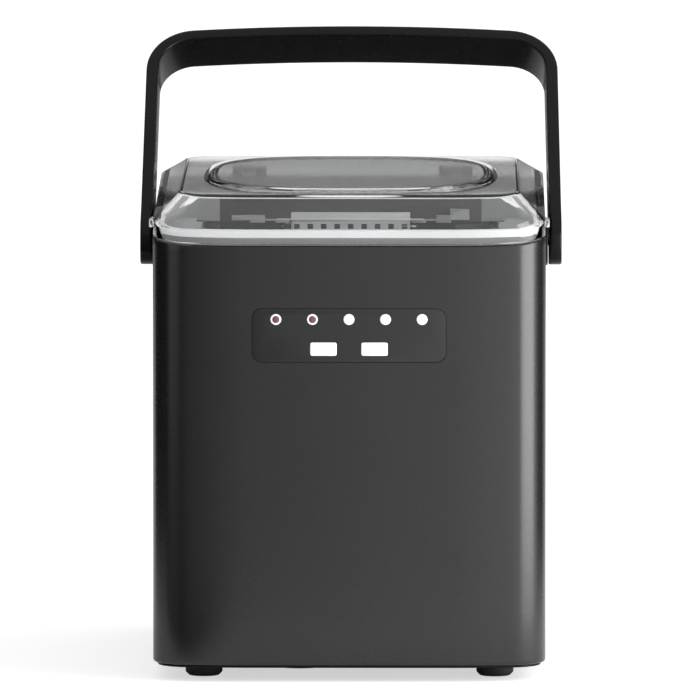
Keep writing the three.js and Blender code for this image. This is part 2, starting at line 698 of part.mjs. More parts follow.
function iceSensor(side) {
  const span = (from, to) => [side * from, side * to].sort((p, q) => p - q);
  const body = block(span(TANK.half - 11, TANK.half - TANK.wall - GAP), [-22, -6], [226, 236]);
  return join(body, rod("x", 2, span(TANK.half - 13, TANK.half - 10), [-14, 231], 12));
}

// ---- Cooling circuit ----
function compressor() {
  const { r, low, high } = COMPRESSOR;
  const shell = lathe(
    [
      [0, low], [r - 10, low], [r - 2, low + 6], [r, low + 14],
      [r, low + 44], [r + 1.4, low + 45], [r + 1.4, low + 49], [r, low + 50],
      [r, high - 26], [r - 4, high - 12], [r - 14, high - 3], [0, high],
    ],
    20,
  );
  const terminals = block([-r - 6, -r + 6], [-14, 14], [low + 56, low + 82]);
  const necks = [-14, 14].map((x) => rod("z", 5, [high - 3, high + 3], [x, 0], 12));
  return join(shell, terminals, ...necks);
}

const MOUNTS = [[-36, -26], [36, -26], [0, 36]];
const PLATE_Z = { low: 21.5, high: 24.5 };

function compressorPlate() {
  let made = block([-43, 43], [-33, 40], [PLATE_Z.low, PLATE_Z.high]);
  made = join(made, rod("z", 26, [PLATE_Z.high - 1, COMPRESSOR.low - GAP], [0, 0], 24));
  for (const [x, y] of MOUNTS) made = cut(made, rod("z", 3.4, [10, 30], [x, y], 12));
  return made;
}

const rubberMount = () =>
  join(
    rod("z", 7, [12 + GAP, PLATE_Z.low - GAP], [0, 0], 16),
    rod("z", 3, [20, PLATE_Z.high + 1.6], [0, 0], 10),
  );

function condenser() {
  const [y0, y1, z0, z1] = [66, 132, 34, 182];
  let made = block([84, 103], [y0, y1], [z0, z1]);
  for (let i = 1; i < 14; i++) {
    const z = z0 + i * 10.6;
    made = cut(made, block([83, 100], [y0 - 1, y1 + 1], [z, z + 3.2]));
  }
  for (let i = 0; i < 5; i++) {
    const z = z0 + 16 + i * 28;
    const corners = [[94, y0 + 1, z], [94, y0 - 4, z + 3], [94, y0 - 4, z + 11], [94, y0 + 1, z + 14]];
    const bend = tube(corners, 2.4, 6, 6);
    made = join(made, bend);
  }
  return made;
}

function fanShroud() {
  const plate = block([78.4, 82.6], [FAN.y - 37, FAN.y + 37], [30, 186]);
  const ring = cut(
    rod("x", FAN.r + 4.5, [62, 79], [FAN.y, FAN.z], 20),
    rod("x", FAN.r + 2.5, [55, 90], [FAN.y, FAN.z], 20),
  );
  const hole = rod("x", FAN.r + 2.5, [55, 90], [FAN.y, FAN.z], 20);
  const arms = [0, 60, 120].map((deg) => {
    const g = new THREE.BoxGeometry(3, 2 * FAN.r + 7.4, 4);
    g.rotateX((deg * Math.PI) / 180).translate(60.7, FAN.y, FAN.z);
    return solid(g);
  });
  const ringBack = cut(
    rod("x", FAN.r + 4.5, [59.4, 63], [FAN.y, FAN.z], 20),
    rod("x", FAN.r + 2.5, [50, 70], [FAN.y, FAN.z], 20),
  );
  return join(cut(plate, hole), ring, ringBack, ...arms, rod("x", 15, [59.2, 62.2], [FAN.y, FAN.z], 20));
}

function fanRotor() {
  let made = rod("x", 12, [64, 77], [0, 0], 20);
  for (let i = 0; i < 7; i++) {
    const blade = new THREE.BoxGeometry(2, FAN.r - 10, 14)
      .rotateY((32 * Math.PI) / 180)
      .translate(70.5, (FAN.r + 10) / 2, 0)
      .rotateX((i * 2 * Math.PI) / 7);
    made = join(made, solid(blade));
  }
  return made;
}

const fanMotor = () => join(rod("x", 14, [38, 59.2 - GAP], [0, 0], 20), rod("x", 6, [34, 39], [0, 0], 14));

function waterPump() {
  const body = rod("z", 16, [48, 82], [0, 0], 20);
  const motor = rod("z", 12, [82, 92], [0, 0], 18);
  const inlet = rod("y", 4.5, [-26, -10], [0, 56], 12);
  return join(body, motor, inlet, block([-20, 20], [-6, 6], [44, 50]));
}

const PUMP = { x: 50, y: -60 };
const HOSE_R = 4;
const HOSE = [
  [PUMP.x, PUMP.y - 26.5, 56],
  [PUMP.x, -98, 56],
  [66, -113, 58],
  [90, -116, 66],
  [99.5, -108, 94],
  [99.5, -92, 150],
  [99.5, -60, 196],
  [99.5, -30, 212],
];

// The drier with the pipe from the condenser and the thin pipe to the evaporator brazed on.
const DRIER = { x: 20, y: 118, low: 168 };
const FROM_CONDENSER = [
  [94, 124, 186], [92, 124, 196], [70, 122, 190],
  [34, 118, 168], [20, 118, 160], [20, 118, 171],
];
const TO_EVAPORATOR = [
  [20, 118, 228], [20, 112, 233], [4, 96, 229.4],
  [-30, 72, 229.4], [-36, 58, 229.4], [-36, 27.6, 229.4],
];

function filterDrier() {
  const body = lathe([[0, 0], [2.8, 0], [2.8, 6], [8, 11], [8, 48], [2.8, 53], [2.8, 61], [0, 61]], 16);
  return join(
    body.translate([DRIER.x, DRIER.y, DRIER.low]),
    tube(FROM_CONDENSER, 2.4, 20, 6),
    tube(TO_EVAPORATOR, 1.8, 20, 6),
  );
}

const hotGasValve = () =>
  join(
    block([-12, 12], [-9, 9], [6, 30]),
    rod("z", 5, [-6, 38], [0, 0], 14),
    rod("x", 3.4, [-18, 18], [0, 0], 12),
  );

const TUBE_R = 2.8;
const DISCHARGE = [
  [COMPRESSOR.x + 14, COMPRESSOR.y, 129.6],
  [COMPRESSOR.x + 16, COMPRESSOR.y, 142],
  [COMPRESSOR.x + 30, COMPRESSOR.y - 4, 152],
  [0, 90, 158],
  [30, 84, 170],
  [64, 78, 194],
  [90, 76, 198],
  [94, 76, 182.6],
];
const SUCTION = [
  [-24, 27.6, COIL_Z],
  [-24, 62, COIL_Z],
  [-30, 74, 220],
  [-48, 84, 190],
  [COMPRESSOR.x - 14, COMPRESSOR.y - 3, 160],
  [COMPRESSOR.x - 14, COMPRESSOR.y, 129.6],
];

function powerBoard() {
  let made = block([-105.6, -104], [-110, 20], [28, 92]);
  made = join(made, block([-104.5, -86], [-96, -66], [40, 70]));
  made = join(made, block([-104.5, -92], [-50, -36], [44, 60]));
  return join(made, rod("x", 8, [-104.5, -82], [-10, 60], 16));
}

// ---- Assembly ----
const machine = new THREE.Group();

function add(group, name, made, material, position = [0, 0, 0]) {
  const mesh = new THREE.Mesh(geometryOf(made), material);
  mesh.name = name;
  mesh.position.set(...position);
  group.add(mesh);
  return mesh;
}

const M = MATERIAL;
add(machine, "outer_casing", outerCasing(), M.charcoal);
add(machine, "rear_cover", rearCover(), M.black);
add(machine, "cord_gland", cordGland(), M.rubber);
for (const [side, x] of [["left", -1], ["right", 1]]) {
  add(machine, `rear_screw_${side}`, rearScrew(), M.steel, [x * SCREW.x, 0, SCREW.z]);
  for (const [end, y] of [["front", -1], ["rear", 1]]) {
    add(machine, `foot_${end}_${side}`, foot(), M.rubber, [x * FOOT.x, y * FOOT.y, 0]);
  }
}
add(machine, "base_tray", baseTray(), M.black);
add(machine, "drain_cap", drainCap(), M.black, [DRAIN.x, DRAIN.y, 0]);
add(machine, "drain_seal", drainSeal(), M.rubber, [DRAIN.x, DRAIN.y, 0]);
add(machine, "drain_pipe", drainPipe(), M.grey, [DRAIN.x, DRAIN.y, 0]);
add(machine, "top_frame", topFrame(), M.pale);
add(machine, "lid", lid(), M.clear);

const handle = new THREE.Group();
handle.position.set(0, PIVOT.y, PIVOT.z);
machine.add(handle);
const bail = add(handle, "carry_handle", carryHandle(), M.black);
bail.rotation.x = THREE.MathUtils.degToRad(-HANDLE_LEAN);
for (const [name, side] of [["left", -1], ["right", 1]]) {
  const pinX = side * KNUCKLE.x;
  add(machine, `hinge_pin_${name}`, rod("x", 1.6, [pinX - 9, pinX + 9], [HINGE.y, HINGE.z], 12), M.steel);
  add(handle, `pivot_plate_${name}`, pivotPlate(side), M.black);
  add(handle, `pivot_screw_${name}`, pivotScrew(side), M.steel);
  add(machine, `ice_sensor_${name}`, iceSensor(side), M.dark);
  add(machine, `shovel_bracket_${name}`, shovelBracket(side), M.grey);
}

add(machine, "control_overlay", controlOverlay(), M.charcoal);
add(machine, "power_button", pushButton(), M.white, [-BUTTON.x, FRONT, BUTTON.z]);
add(machine, "select_button", pushButton(), M.white, [BUTTON.x, FRONT, BUTTON.z]);
["add_water", "ice_full", "power", "small", "large"].forEach((name, i) => {
  const material = i < 2 ? M.lampRed : M.lampWhite;
  add(machine, `lamp_${name}`, lampLens(), material, [(i - 2) * LAMP.pitch, 0, 0]);
});
add(machine, "display_board", displayBoard(), M.board);

add(machine, "water_tank", waterTank(), M.dark);
add(machine, "insulation_shell", insulationShell(), M.foam);
add(machine, "ice_basket", iceBasket(), M.grey);
add(machine, "evaporator", evaporator(), M.nickel);
add(machine, "water_tray", waterTray(), M.grey);
add(machine, "tray_motor", trayMotor(), M.white);
add(machine, "tray_bearing", trayBearing(), M.white);
add(machine, "ice_shovel", iceShovel(), M.pale, [0, SHOVEL.y, SHOVEL.axisZ]);
add(machine, "evaporator_hood", evaporatorHood(), M.dark);

const compressorAt = [COMPRESSOR.x, COMPRESSOR.y, 0];
add(machine, "compressor", compressor(), M.black, compressorAt);
add(machine, "compressor_plate", compressorPlate(), M.steel, compressorAt);
MOUNTS.forEach(([x, y], i) => {
  add(machine, `rubber_mount_${i + 1}`, rubberMount(), M.rubber, [COMPRESSOR.x + x, COMPRESSOR.y + y, 0]);
});
add(machine, "condenser", condenser(), M.aluminium);
add(machine, "fan_shroud", fanShroud(), M.black);
add(machine, "fan_rotor", fanRotor(), M.black, [0, FAN.y, FAN.z]);
add(machine, "fan_motor", fanMotor(), M.steel, [0, FAN.y, FAN.z]);
add(machine, "water_pump", waterPump(), M.white, [PUMP.x, PUMP.y, 0]);
add(machine, "pump_hose", tube(HOSE, HOSE_R, 24), M.white);
add(machine, "filter_drier", filterDrier(), M.copper);
add(machine, "hot_gas_valve", hotGasValve(), M.steel, [-30, 124, 160]);
add(machine, "discharge_tube", tube(DISCHARGE, TUBE_R, 24, 6), M.copper);
add(machine, "suction_tube", tube(SUCTION, TUBE_R, 20, 6), M.copper);
add(machine, "power_board", powerBoard(), M.board);

export default machine;
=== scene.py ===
"""Looks of a countertop ice maker: charcoal casing, clear lid, carrying handle and control panel.

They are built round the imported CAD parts, in metres, +Z up, with the front towards -Y.
"""
import math
import json

import bmesh
import bpy
from mathutils import Matrix, Vector


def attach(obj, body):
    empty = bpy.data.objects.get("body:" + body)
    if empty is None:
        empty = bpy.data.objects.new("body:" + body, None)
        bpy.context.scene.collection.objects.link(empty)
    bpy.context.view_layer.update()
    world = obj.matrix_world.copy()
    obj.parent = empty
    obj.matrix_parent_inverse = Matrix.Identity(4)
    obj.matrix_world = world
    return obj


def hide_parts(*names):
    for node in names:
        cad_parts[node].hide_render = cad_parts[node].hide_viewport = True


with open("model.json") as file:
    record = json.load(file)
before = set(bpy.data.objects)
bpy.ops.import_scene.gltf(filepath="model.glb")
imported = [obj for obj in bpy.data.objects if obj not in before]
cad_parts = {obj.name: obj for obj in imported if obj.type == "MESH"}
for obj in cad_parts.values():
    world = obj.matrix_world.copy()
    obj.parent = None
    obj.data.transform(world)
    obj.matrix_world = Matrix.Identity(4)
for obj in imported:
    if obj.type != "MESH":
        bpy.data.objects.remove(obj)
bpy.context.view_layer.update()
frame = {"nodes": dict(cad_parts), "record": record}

MM = 0.001
NODES = frame["nodes"]
SCENE = bpy.context.scene

# ---- Dimensions in millimetres, as in the CAD part except where this script rounds an edge ----
HALF, FRONT, REAR = 111.0, -145.0, 145.0
CORNER_R, BOW_START, BOW_ANGLE = 22.0, 58.7, math.radians(7.5)
WALL = 2.5
CASING_Z, CASING_TOP = 9.5, 246.9
LID_LOW, RIM_TOP, LID_TOP = 247.8, 256.4, 273.2
LID_SLOPE, LID_TOP_R, LID_REAR, LID_WALL = 15.0, 15.0, 125.0, 2.4
GAP = 0.3
LID_COUNT = 176  # points round each ring of the lid
PAINTED_SHADE_TOP = 251.2  # top of the band of painted shade low on the front of the frame's lip
PAINTED_SHADE_RISE = 0.21  # how steeply the painted shade band climbs to the rear
DOME = {"half": 83.5, "mid": -10.0, "reach": 106.0, "power": 3.0, "rise": 1.8, "fillet": 2.6}
HINGE_Y, HINGE_Z, KNUCKLE_X = 130.0, 267.0, 60.0
PIVOT_Y, PIVOT_Z, LEAN = 10.0, 237.0, math.radians(43)
BAIL = {
    "reach": 148.8, "width": 26.0, "thick": 7.6, "root": 120.8,
    "shoulder": 118.9, "corner": 28.5, "crown": 3.2, "draft": 0.9,
}
BAIL_EDGE = 1.5
PIVOT_POCKET_R, PIVOT_POCKET_DEPTH = 6.4, 2.4
PANEL = {"half": 55.0, "low": 181.3, "high": 212.2, "r": 5.8, "recess": 1.2}
LAMP_R, LAMP_PITCH, LAMP_Z = 3.1, 20.6, 205.8
LENS_R, LENS_POCKET_R, LENS_POCKET_DEPTH = 2.0, 2.05, 0.7
LAMP_NAMES = ("add_water", "ice_full", "power", "small", "large")
RED_LAMPS = 2
BUTTON = {"half": 7.5, "tall": 7.6, "x": 14.4, "z": 189.0, "hole_r": 1.4, "r": 1.1}
VENT = {"front": 62.0, "rear": 122.0, "low": 42.0, "count": 13, "pitch": 10.0, "height": 4.0}
REAR_PANEL = {"half": 90.0, "low": 20.0, "high": 234.0, "r": 8.0, "recess": 6.0}
CUT_AHEAD, HOLE_DEPTH = 1.0, 5.0  # how far a cutter starts outside a face, and how deep the front holes go

# ---- Camera, in metres ----
CAMERA_AT, CAMERA_AIM = (0.063, -8.145, 0.9337), (0.0006, -0.145, 0.1886)
CAMERA_LENS, CAMERA_SENSOR = 733.5, 36


def rim_sweep(y):
    """How far the casing's top edge and the lid's rim rise behind the front."""
    return 3.6 * (1 - math.exp(-(y - FRONT) / 14)) + 0.035 * (y - FRONT)


def top_sweep(y):
    """How far the lid's top face rises behind the front."""
    return 2.4 * (1 - math.exp(-(y - FRONT) / 14)) + 0.0095 * (y - FRONT)


# ---- Mesh helpers ----
def new_piece(name, verts, faces, paint, body, sharp=35, slot=None):
    """A smooth-shaded mesh from points in millimetres, riding on a body."""
    mesh = bpy.data.meshes.new(name)
    mesh.from_pydata([tuple(c * MM for c in v) for v in verts], [], faces)
    mesh.validate()
    obj = bpy.data.objects.new(name, mesh)
    SCENE.collection.objects.link(obj)
    tidy_normals(obj, sharp)
    if paint:
        mesh.materials.append(paint)
    if body:
        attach(obj, body)
    return obj


def tidy_normals(obj, sharp=35):
    """Outward normals, smooth shading, and sharp edges above an angle in degrees."""
    bm = bmesh.new()
    bm.from_mesh(obj.data)
    bmesh.ops.remove_doubles(bm, verts=bm.verts, dist=1e-6)
    bmesh.ops.recalc_face_normals(bm, faces=bm.faces)
    for f in bm.faces:
        f.smooth = True
    bm.to_mesh(obj.data)
    bm.free()
    obj.data.set_sharp_from_angle(angle=math.radians(sharp))


def rings_to_faces(rings, closed=False, caps=True):
    """Verts and faces joining equal rings of points in turn."""
    n = len(rings[0])
    verts = [p for ring in rings for p in ring]
    faces = []
    for k in range(len(rings) if closed else len(rings) - 1):
        a, b = k * n, ((k + 1) % len(rings)) * n
        faces += [(a + i, a + (i + 1) % n, b + (i + 1) % n, b + i) for i in range(n)]
    if caps and not closed:
        faces.append(tuple(reversed(range(n))))
        faces.append(tuple(range((len(rings) - 1) * n, len(rings) * n)))
    return verts, faces


def outline(half, front, rear, r, bow=True, arc=14, side=22):
    """A rounded rectangle seen from above, counter-clockwise, with a bowed front, as (x, y) points."""
    angle = BOW_ANGLE if bow else 0.0
    flat = BOW_START * (half - r) / (HALF - CORNER_R)
    end = half - r + r * math.sin(angle)
    right = [(flat * k, front) for k in (0.05, 0.3, 0.6, 0.85, 1.0)]
    bow_depth = (end - flat) * math.tan(angle) / 2
    for i in range(1, 9):
        t = i / 8
        right.append((flat + (end - flat) * t, front + bow_depth * t * t))
    cy = front + bow_depth + r * math.cos(angle)
    start = angle - math.pi / 2
    for i in range(1, arc + 1):
        a = start + (0 - start) * i / arc
        right.append((half - r + r * math.cos(a), cy + r * math.sin(a)))
    y1 = rear - r
    right += [(half, cy + (y1 - cy) * (i / side) ** 1.5) for i in range(1, side + 1)]
    for i in range(1, arc + 1):
        a = math.pi / 2 * i / arc
        right.append((half - r + r * math.cos(a), y1 + r * math.sin(a)))
    right += [((half - r) * k, rear) for k in (0.8, 0.55, 0.3, 0.05)]
    return right + [(-x, y) for x, y in reversed(right)]


def rounded_rect(x0, x1, z0, z1, r, arc=8):
    """A rounded rectangle's corner points, as (x, z)."""
    corners = ((x1 - r, z0 + r, -90), (x1 - r, z1 - r, 0), (x0 + r, z1 - r, 90), (x0 + r, z0 + r, 180))
    pts = []
    for cx, cz, a0 in corners:
        for i in range(arc + 1):
            a = math.radians(a0 + 90 * i / arc)
            pts.append((cx + r * math.cos(a), cz + r * math.sin(a)))
    return pts


def plate_rings(x0, x1, z0, z1, r, y_back, y_face, edge, arc=8):
    """Rings of a plate facing -Y whose front edge is rounded by edge."""
    rings = [[(x, y_back, z) for x, z in rounded_rect(x0, x1, z0, z1, r, arc)]]
    for inset, back in ((0, edge), (0.13 * edge, 0.5 * edge), (0.5 * edge, 0.13 * edge), (edge, 0)):
        shape = rounded_rect(x0 + inset, x1 - inset, z0 + inset, z1 - inset, max(r - inset, 0.05), arc)
        rings.append([(x, y_face + back, z) for x, z in shape])
    return rings


def circle(ca, cb, r, sides=48):
    """A circle's points, as pairs."""
    turns = [2 * math.pi * i / sides for i in range(sides)]
    return [(ca + r * math.cos(a), cb + r * math.sin(a)) for a in turns]


def disc_rings(cx, cz, r, y_back, y_face, edge):
    """Rings of a round button facing -Y with a rounded front edge."""
    steps = ((r, y_back), (r, y_face + edge), (r - 0.3 * edge, y_face + 0.3 * edge), (r - edge, y_face))
    return [[(x, y, z) for x, z in circle(cx, cz, radius, 40)] for radius, y in steps]


def box_mesh(boxes):
    """Verts and faces of separate boxes, each (x0, x1, y0, y1, z0, z1)."""
    verts, faces = [], []
    for x0, x1, y0, y1, z0, z1 in boxes:
        n = len(verts)
        verts += [(x, y, z) for z in (z0, z1) for x, y in ((x0, y0), (x1, y0), (x1, y1), (x0, y1))]
        faces += [
            tuple(n + i for i in f)
            for f in ((3, 2, 1, 0), (4, 5, 6, 7), (0, 1, 5, 4), (1, 2, 6, 5), (2, 3, 7, 6), (3, 0, 4, 7))
        ]
    return verts, faces


def cut(obj, cutters, sharp=35):
    """Takes cutter shapes, as (verts, faces), out of obj."""
    for i, (verts, faces) in enumerate(cutters):
        tool = new_piece(f"cutter_{i}", verts, faces, None, None)
        mod = obj.modifiers.new("cut", "BOOLEAN")
        mod.operation, mod.solver, mod.object = "DIFFERENCE", "EXACT", tool
        bpy.context.view_layer.update()
        made = bpy.data.meshes.new_from_object(obj.evaluated_get(bpy.context.evaluated_depsgraph_get()))
        obj.modifiers.clear()
        old, obj.data = obj.data, made
        bpy.data.meshes.remove(old)
        bpy.data.objects.remove(tool)
    tidy_normals(obj, sharp)


# ---- Materials ----
def material(
    name, color, rough, metallic=0.0, spread=0.1, rough_spread=0.06, grain=0.02, grain_size=0.5, **sockets
):
    """A procedural surface: cloudy colour, uneven roughness and a fine moulded grain.

    grain_size is in millimetres, and sockets are shader inputs set to one value, with _ for a space.
    """
    m = bpy.data.materials.new(name)
    m.use_nodes = True
    t = m.node_tree
    shader = t.nodes["Principled BSDF"]
    shader.inputs["Metallic"].default_value = metallic
    for key, value in sockets.items():
        shader.inputs[key.replace("_", " ")].default_value = value
    place = t.nodes.new("ShaderNodeTexCoord")
    cloud = t.nodes.new("ShaderNodeTexNoise")
    cloud.inputs["Scale"].default_value = 18.0
    cloud.inputs["Detail"].default_value = 4.0
    t.links.new(place.outputs["Object"], cloud.inputs["Vector"])
    tint = t.nodes.new("ShaderNodeValToRGB")
    tint.color_ramp.elements[0].position, tint.color_ramp.elements[1].position = 0.3, 0.7
    tint.color_ramp.elements[0].color = (*[c * (1 - spread) for c in color], 1)
    tint.color_ramp.elements[1].color = (*[min(1.0, c * (1 + spread)) for c in color], 1)
    t.links.new(cloud.outputs["Fac"], tint.inputs["Fac"])
    t.links.new(tint.outputs["Color"], shader.inputs["Base Color"])
    speck = t.nodes.new("ShaderNodeTexNoise")
    speck.inputs["Scale"].default_value = 260.0
    speck.inputs["Detail"].default_value = 3.0
    t.links.new(place.outputs["Object"], speck.inputs["Vector"])
    span = t.nodes.new("ShaderNodeMapRange")
    span.inputs["To Min"].default_value = max(0.0, rough - rough_spread)
    span.inputs["To Max"].default_value = min(1.0, rough + rough_spread)
    t.links.new(speck.outputs["Fac"], span.inputs["Value"])
    t.links.new(span.outputs["Result"], shader.inputs["Roughness"])
    if grain:
        fine = t.nodes.new("ShaderNodeTexNoise")
        fine.inputs["Scale"].default_value = 1000.0 / grain_size
        fine.inputs["Detail"].default_value = 2.0
        t.links.new(place.outputs["Object"], fine.inputs["Vector"])
        bump = t.nodes.new("ShaderNodeBump")
        bump.inputs["Strength"].default_value = grain
        bump.inputs["Distance"].default_value = 0.0002
        t.links.new(fine.outputs["Fac"], bump.inputs["Height"])
        t.links.new(bump.outputs["Normal"], shader.inputs["Normal"])
    return m


MAT = {
    "casing": material(
        "casing_plastic", (0.006, 0.006, 0.0062), 0.27, rough_spread=0.02, grain=0.05, grain_size=0.7,
    ),
    "overlay": material(
        "overlay_film", (0.006, 0.006, 0.0062), 0.3, rough_spread=0.02, grain=0.04, grain_size=0.4,
    ),
    "black_plastic": material(
        "black_plastic", (0.004, 0.004, 0.0042), 0.26, grain=0.05, grain_size=0.6, Specular_IOR_Level=0.14,
    ),
    "rubber": material("rubber", (0.012, 0.012, 0.012), 0.75, grain=0.3, grain_size=0.9),
    "lid_clear": material(
        "lid_clear", (0.95, 0.953, 0.956), 0.02, spread=0.01, rough_spread=0.012, grain=0.0,
        Transmission_Weight=1.0, IOR=1.49,
    ),
    "pale_plastic": material("pale_plastic", (0.84, 0.845, 0.85), 0.45, spread=0.04, grain=0.08),
    "grey_plastic": material("grey_plastic", (0.42, 0.425, 0.43), 0.42, grain=0.1),
    "dark_plastic": material("dark_plastic", (0.03, 0.031, 0.033), 0.35, grain=0.08),
    "white_plastic": material("white_plastic", (0.78, 0.79, 0.8), 0.32, spread=0.03, grain=0.04),
    "lamp_white": material("lamp_white", (0.72, 0.78, 0.8), 0.25, spread=0.03, grain=0.02, Coat_Weight=0.5),
    "lamp_red": material("lamp_red", (0.13, 0.035, 0.04), 0.22, grain=0.02, Coat_Weight=0.6),
    "foam": material("foam", (0.8, 0.8, 0.77), 0.9, spread=0.04, grain=0.6, grain_size=2.0),
    "copper": material("copper", (0.72, 0.36, 0.2), 0.28, 1.0, grain=0.05),
    "nickel": material("nickel", (0.6, 0.6, 0.61), 0.18, 1.0, grain=0.04),
    "steel": material("steel", (0.5, 0.5, 0.51), 0.32, 1.0, grain=0.08),
    "compressor_steel": material(
        "compressor_enamel", (0.012, 0.012, 0.013), 0.25, grain=0.05, Coat_Weight=0.4,
    ),
    "aluminium": material("aluminium", (0.66, 0.67, 0.68), 0.38, 1.0, grain=0.1),
    "board": material("board_lacquer", (0.02, 0.13, 0.05), 0.3, grain=0.05),
}


def frame_material():
    """Pale plastic with a faint glow of painted light, and a grey band of painted shade low on the front of
    the lip.
    """
    # The emission is painted light: it brightens the frame seen through the clear lid, though the frame
    # gives no light.
    glow = {"Emission_Color": (0.85, 0.87, 0.88, 1), "Emission_Strength": 0.13}
    m = material("frame_plastic", (0.86, 0.865, 0.87), 0.45, spread=0.03, grain=0.08, **glow)
    t = m.node_tree
    shader = t.nodes["Principled BSDF"]
    pale = shader.inputs["Base Color"].links[0].from_socket
    place = t.nodes.new("ShaderNodeTexCoord")
    axes = t.nodes.new("ShaderNodeSeparateXYZ")
    t.links.new(place.outputs["Object"], axes.inputs["Vector"])
    rise = t.nodes.new("ShaderNodeMath")
    rise.operation = "MULTIPLY_ADD"
    rise.inputs[1].default_value = -PAINTED_SHADE_RISE
    t.links.new(axes.outputs["Y"], rise.inputs[0])
    t.links.new(axes.outputs["Z"], rise.inputs[2])
    step = t.nodes.new("ShaderNodeMapRange")
    level = (PAINTED_SHADE_TOP - PAINTED_SHADE_RISE * FRONT) * MM
    for key, value in (("From Min", level - 0.0001), ("From Max", level + 0.0001)):
        step.inputs[key].default_value = value
    t.links.new(rise.outputs["Value"], step.inputs["Value"])
    mix = t.nodes.new("ShaderNodeMix")
    mix.data_type = "RGBA"
    # Sockets 6, 7 and 2 are the mix node's two colour inputs and its colour output.
    # The first colour is a grey of painted shade on the front of the lip, where the lid's rim shades it; the
    # second is the pale plastic.
    mix.inputs[6].default_value = (0.12, 0.122, 0.125, 1)
    t.links.new(step.outputs["Result"], mix.inputs["Factor"])
    t.links.new(pale, mix.inputs[7])
    t.links.new(mix.outputs[2], shader.inputs["Base Color"])
    return m


def dress_cad_nodes():
    """Gives every CAD node its procedural material and slightly rounded edges.

    The rear cover is flat, so it alone is flat-shaded.
    """
    # The top frame's material carries a painted shade band and a painted glow.
    shaded_frame = frame_material()
    for row in frame["record"]["subparts"]:
        obj = NODES[row["node"]]
        obj.data.materials.clear()
        obj.data.materials.append(shaded_frame if row["node"] == "top_frame" else MAT[row["material_slot"]])
        for p in obj.data.polygons:
            p.use_smooth = row["node"] != "rear_cover"
        weld = obj.modifiers.new("weld", "WELD")
        weld.merge_threshold = 1e-6
        bevel = obj.modifiers.new("bevel", "BEVEL")
        bevel.width, bevel.segments = 0.00035, 2
        bevel.limit_method, bevel.angle_limit = "ANGLE", math.radians(40)
        bevel.harden_normals = True


# ---- Casing ----
def casing_rings():
    """Rings round the casing's wall: up its outside, over its top edge and down its inside."""

    def ring(inset, height):
        pts = outline(HALF - inset, FRONT + inset, REAR - inset, CORNER_R - inset)
        return [(x, y, height(y)) for x, y in pts]

    def at(z):
        return lambda y: z

    def edge(drop):
        return lambda y: CASING_TOP + rim_sweep(y) - drop

    foot = [(1.5, 0.0), (0.9, 0.15), (0.35, 0.65), (0.08, 1.2), (0, 1.9)]
    rings = [ring(inset, at(CASING_Z + up)) for inset, up in foot]
    rings += [ring(0, at(z)) for z in (40.0, 120.0, 200.0)]
    outer_lip = [(0, 4), (0, 0.8), (0.1, 0.35), (0.35, 0.1), (0.8, 0)]
    inner_lip = [(1.7, 0), (2.15, 0.1), (2.4, 0.35), (WALL, 0.8)]
    rings += [ring(inset, edge(drop)) for inset, drop in outer_lip + inner_lip]
    rings += [ring(WALL, at(200.0)), ring(WALL, at(CASING_Z))]
    return rings


def prism_y(points, y0, y1):
    """A shape of (x, z) points made solid between two y values."""
    return rings_to_faces([[(x, y0, z) for x, z in points], [(x, y1, z) for x, z in points]])


def front_hole(points, depth=HOLE_DEPTH):
    """A cutter into the front from (x, z) points."""
    return prism_y(points, FRONT - CUT_AHEAD, FRONT + depth)


def control_holes(lamp_gap):
    """Cutters for the two buttons and the five lamps."""
    w, h = BUTTON["half"] + GAP, BUTTON["tall"] / 2 + GAP
    x, z = BUTTON["x"], BUTTON["z"]
    holes = [front_hole(rounded_rect(cx - w, cx + w, z - h, z + h, BUTTON["hole_r"])) for cx in (-x, x)]
    for i in range(len(LAMP_NAMES)):
        holes.append(front_hole(circle((i - 2) * LAMP_PITCH, LAMP_Z, LAMP_R + lamp_gap)))
    return holes


def side_vents():
    """Slots through both sides of the casing."""
    slots = []
    for i in range(VENT["count"]):
        z = VENT["low"] + i * VENT["pitch"]
        for side in (-1, 1):
            x0, x1 = sorted((side * (HALF - 6), side * (HALF + CUT_AHEAD)))
            slots.append((x0, x1, VENT["front"], VENT["rear"], z, z + VENT["height"]))
    return box_mesh(slots)


def build_casing():
    """The wrap-round casing with its panel recess, control holes, side vents and rear recess."""
    verts, faces = rings_to_faces(casing_rings(), closed=True)
    skin = new_piece("casing_skin", verts, faces, MAT["casing"], "machine", slot="casing")
    p = PANEL
    recess = front_hole(rounded_rect(-p["half"], p["half"], p["low"], p["high"], p["r"]), p["recess"])
    b = REAR_PANEL
    rear = rounded_rect(-b["half"], b["half"], b["low"], b["high"], b["r"])
    back = prism_y(rear, REAR - b["recess"], REAR + CUT_AHEAD)
    cut(skin, [recess] + control_holes(GAP) + [side_vents(), back])
    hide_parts("outer_casing")


# ---- Lid ----
def dome_outline(shrink, count):
    """The raised panel's edge, as count points that start near the front middle."""
    pts = []
    for i in range(count):
        a = -math.pi / 2 + 2 * math.pi * (i + 0.5) / count
        c, s = math.cos(a), math.sin(a)
        e = 2 / DOME["power"]
        x = (DOME["half"] - shrink) * math.copysign(abs(c) ** e, c)
        y = DOME["mid"] + (DOME["reach"] - shrink) * math.copysign(abs(s) ** e, s)
        pts.append((x, y))
    return pts


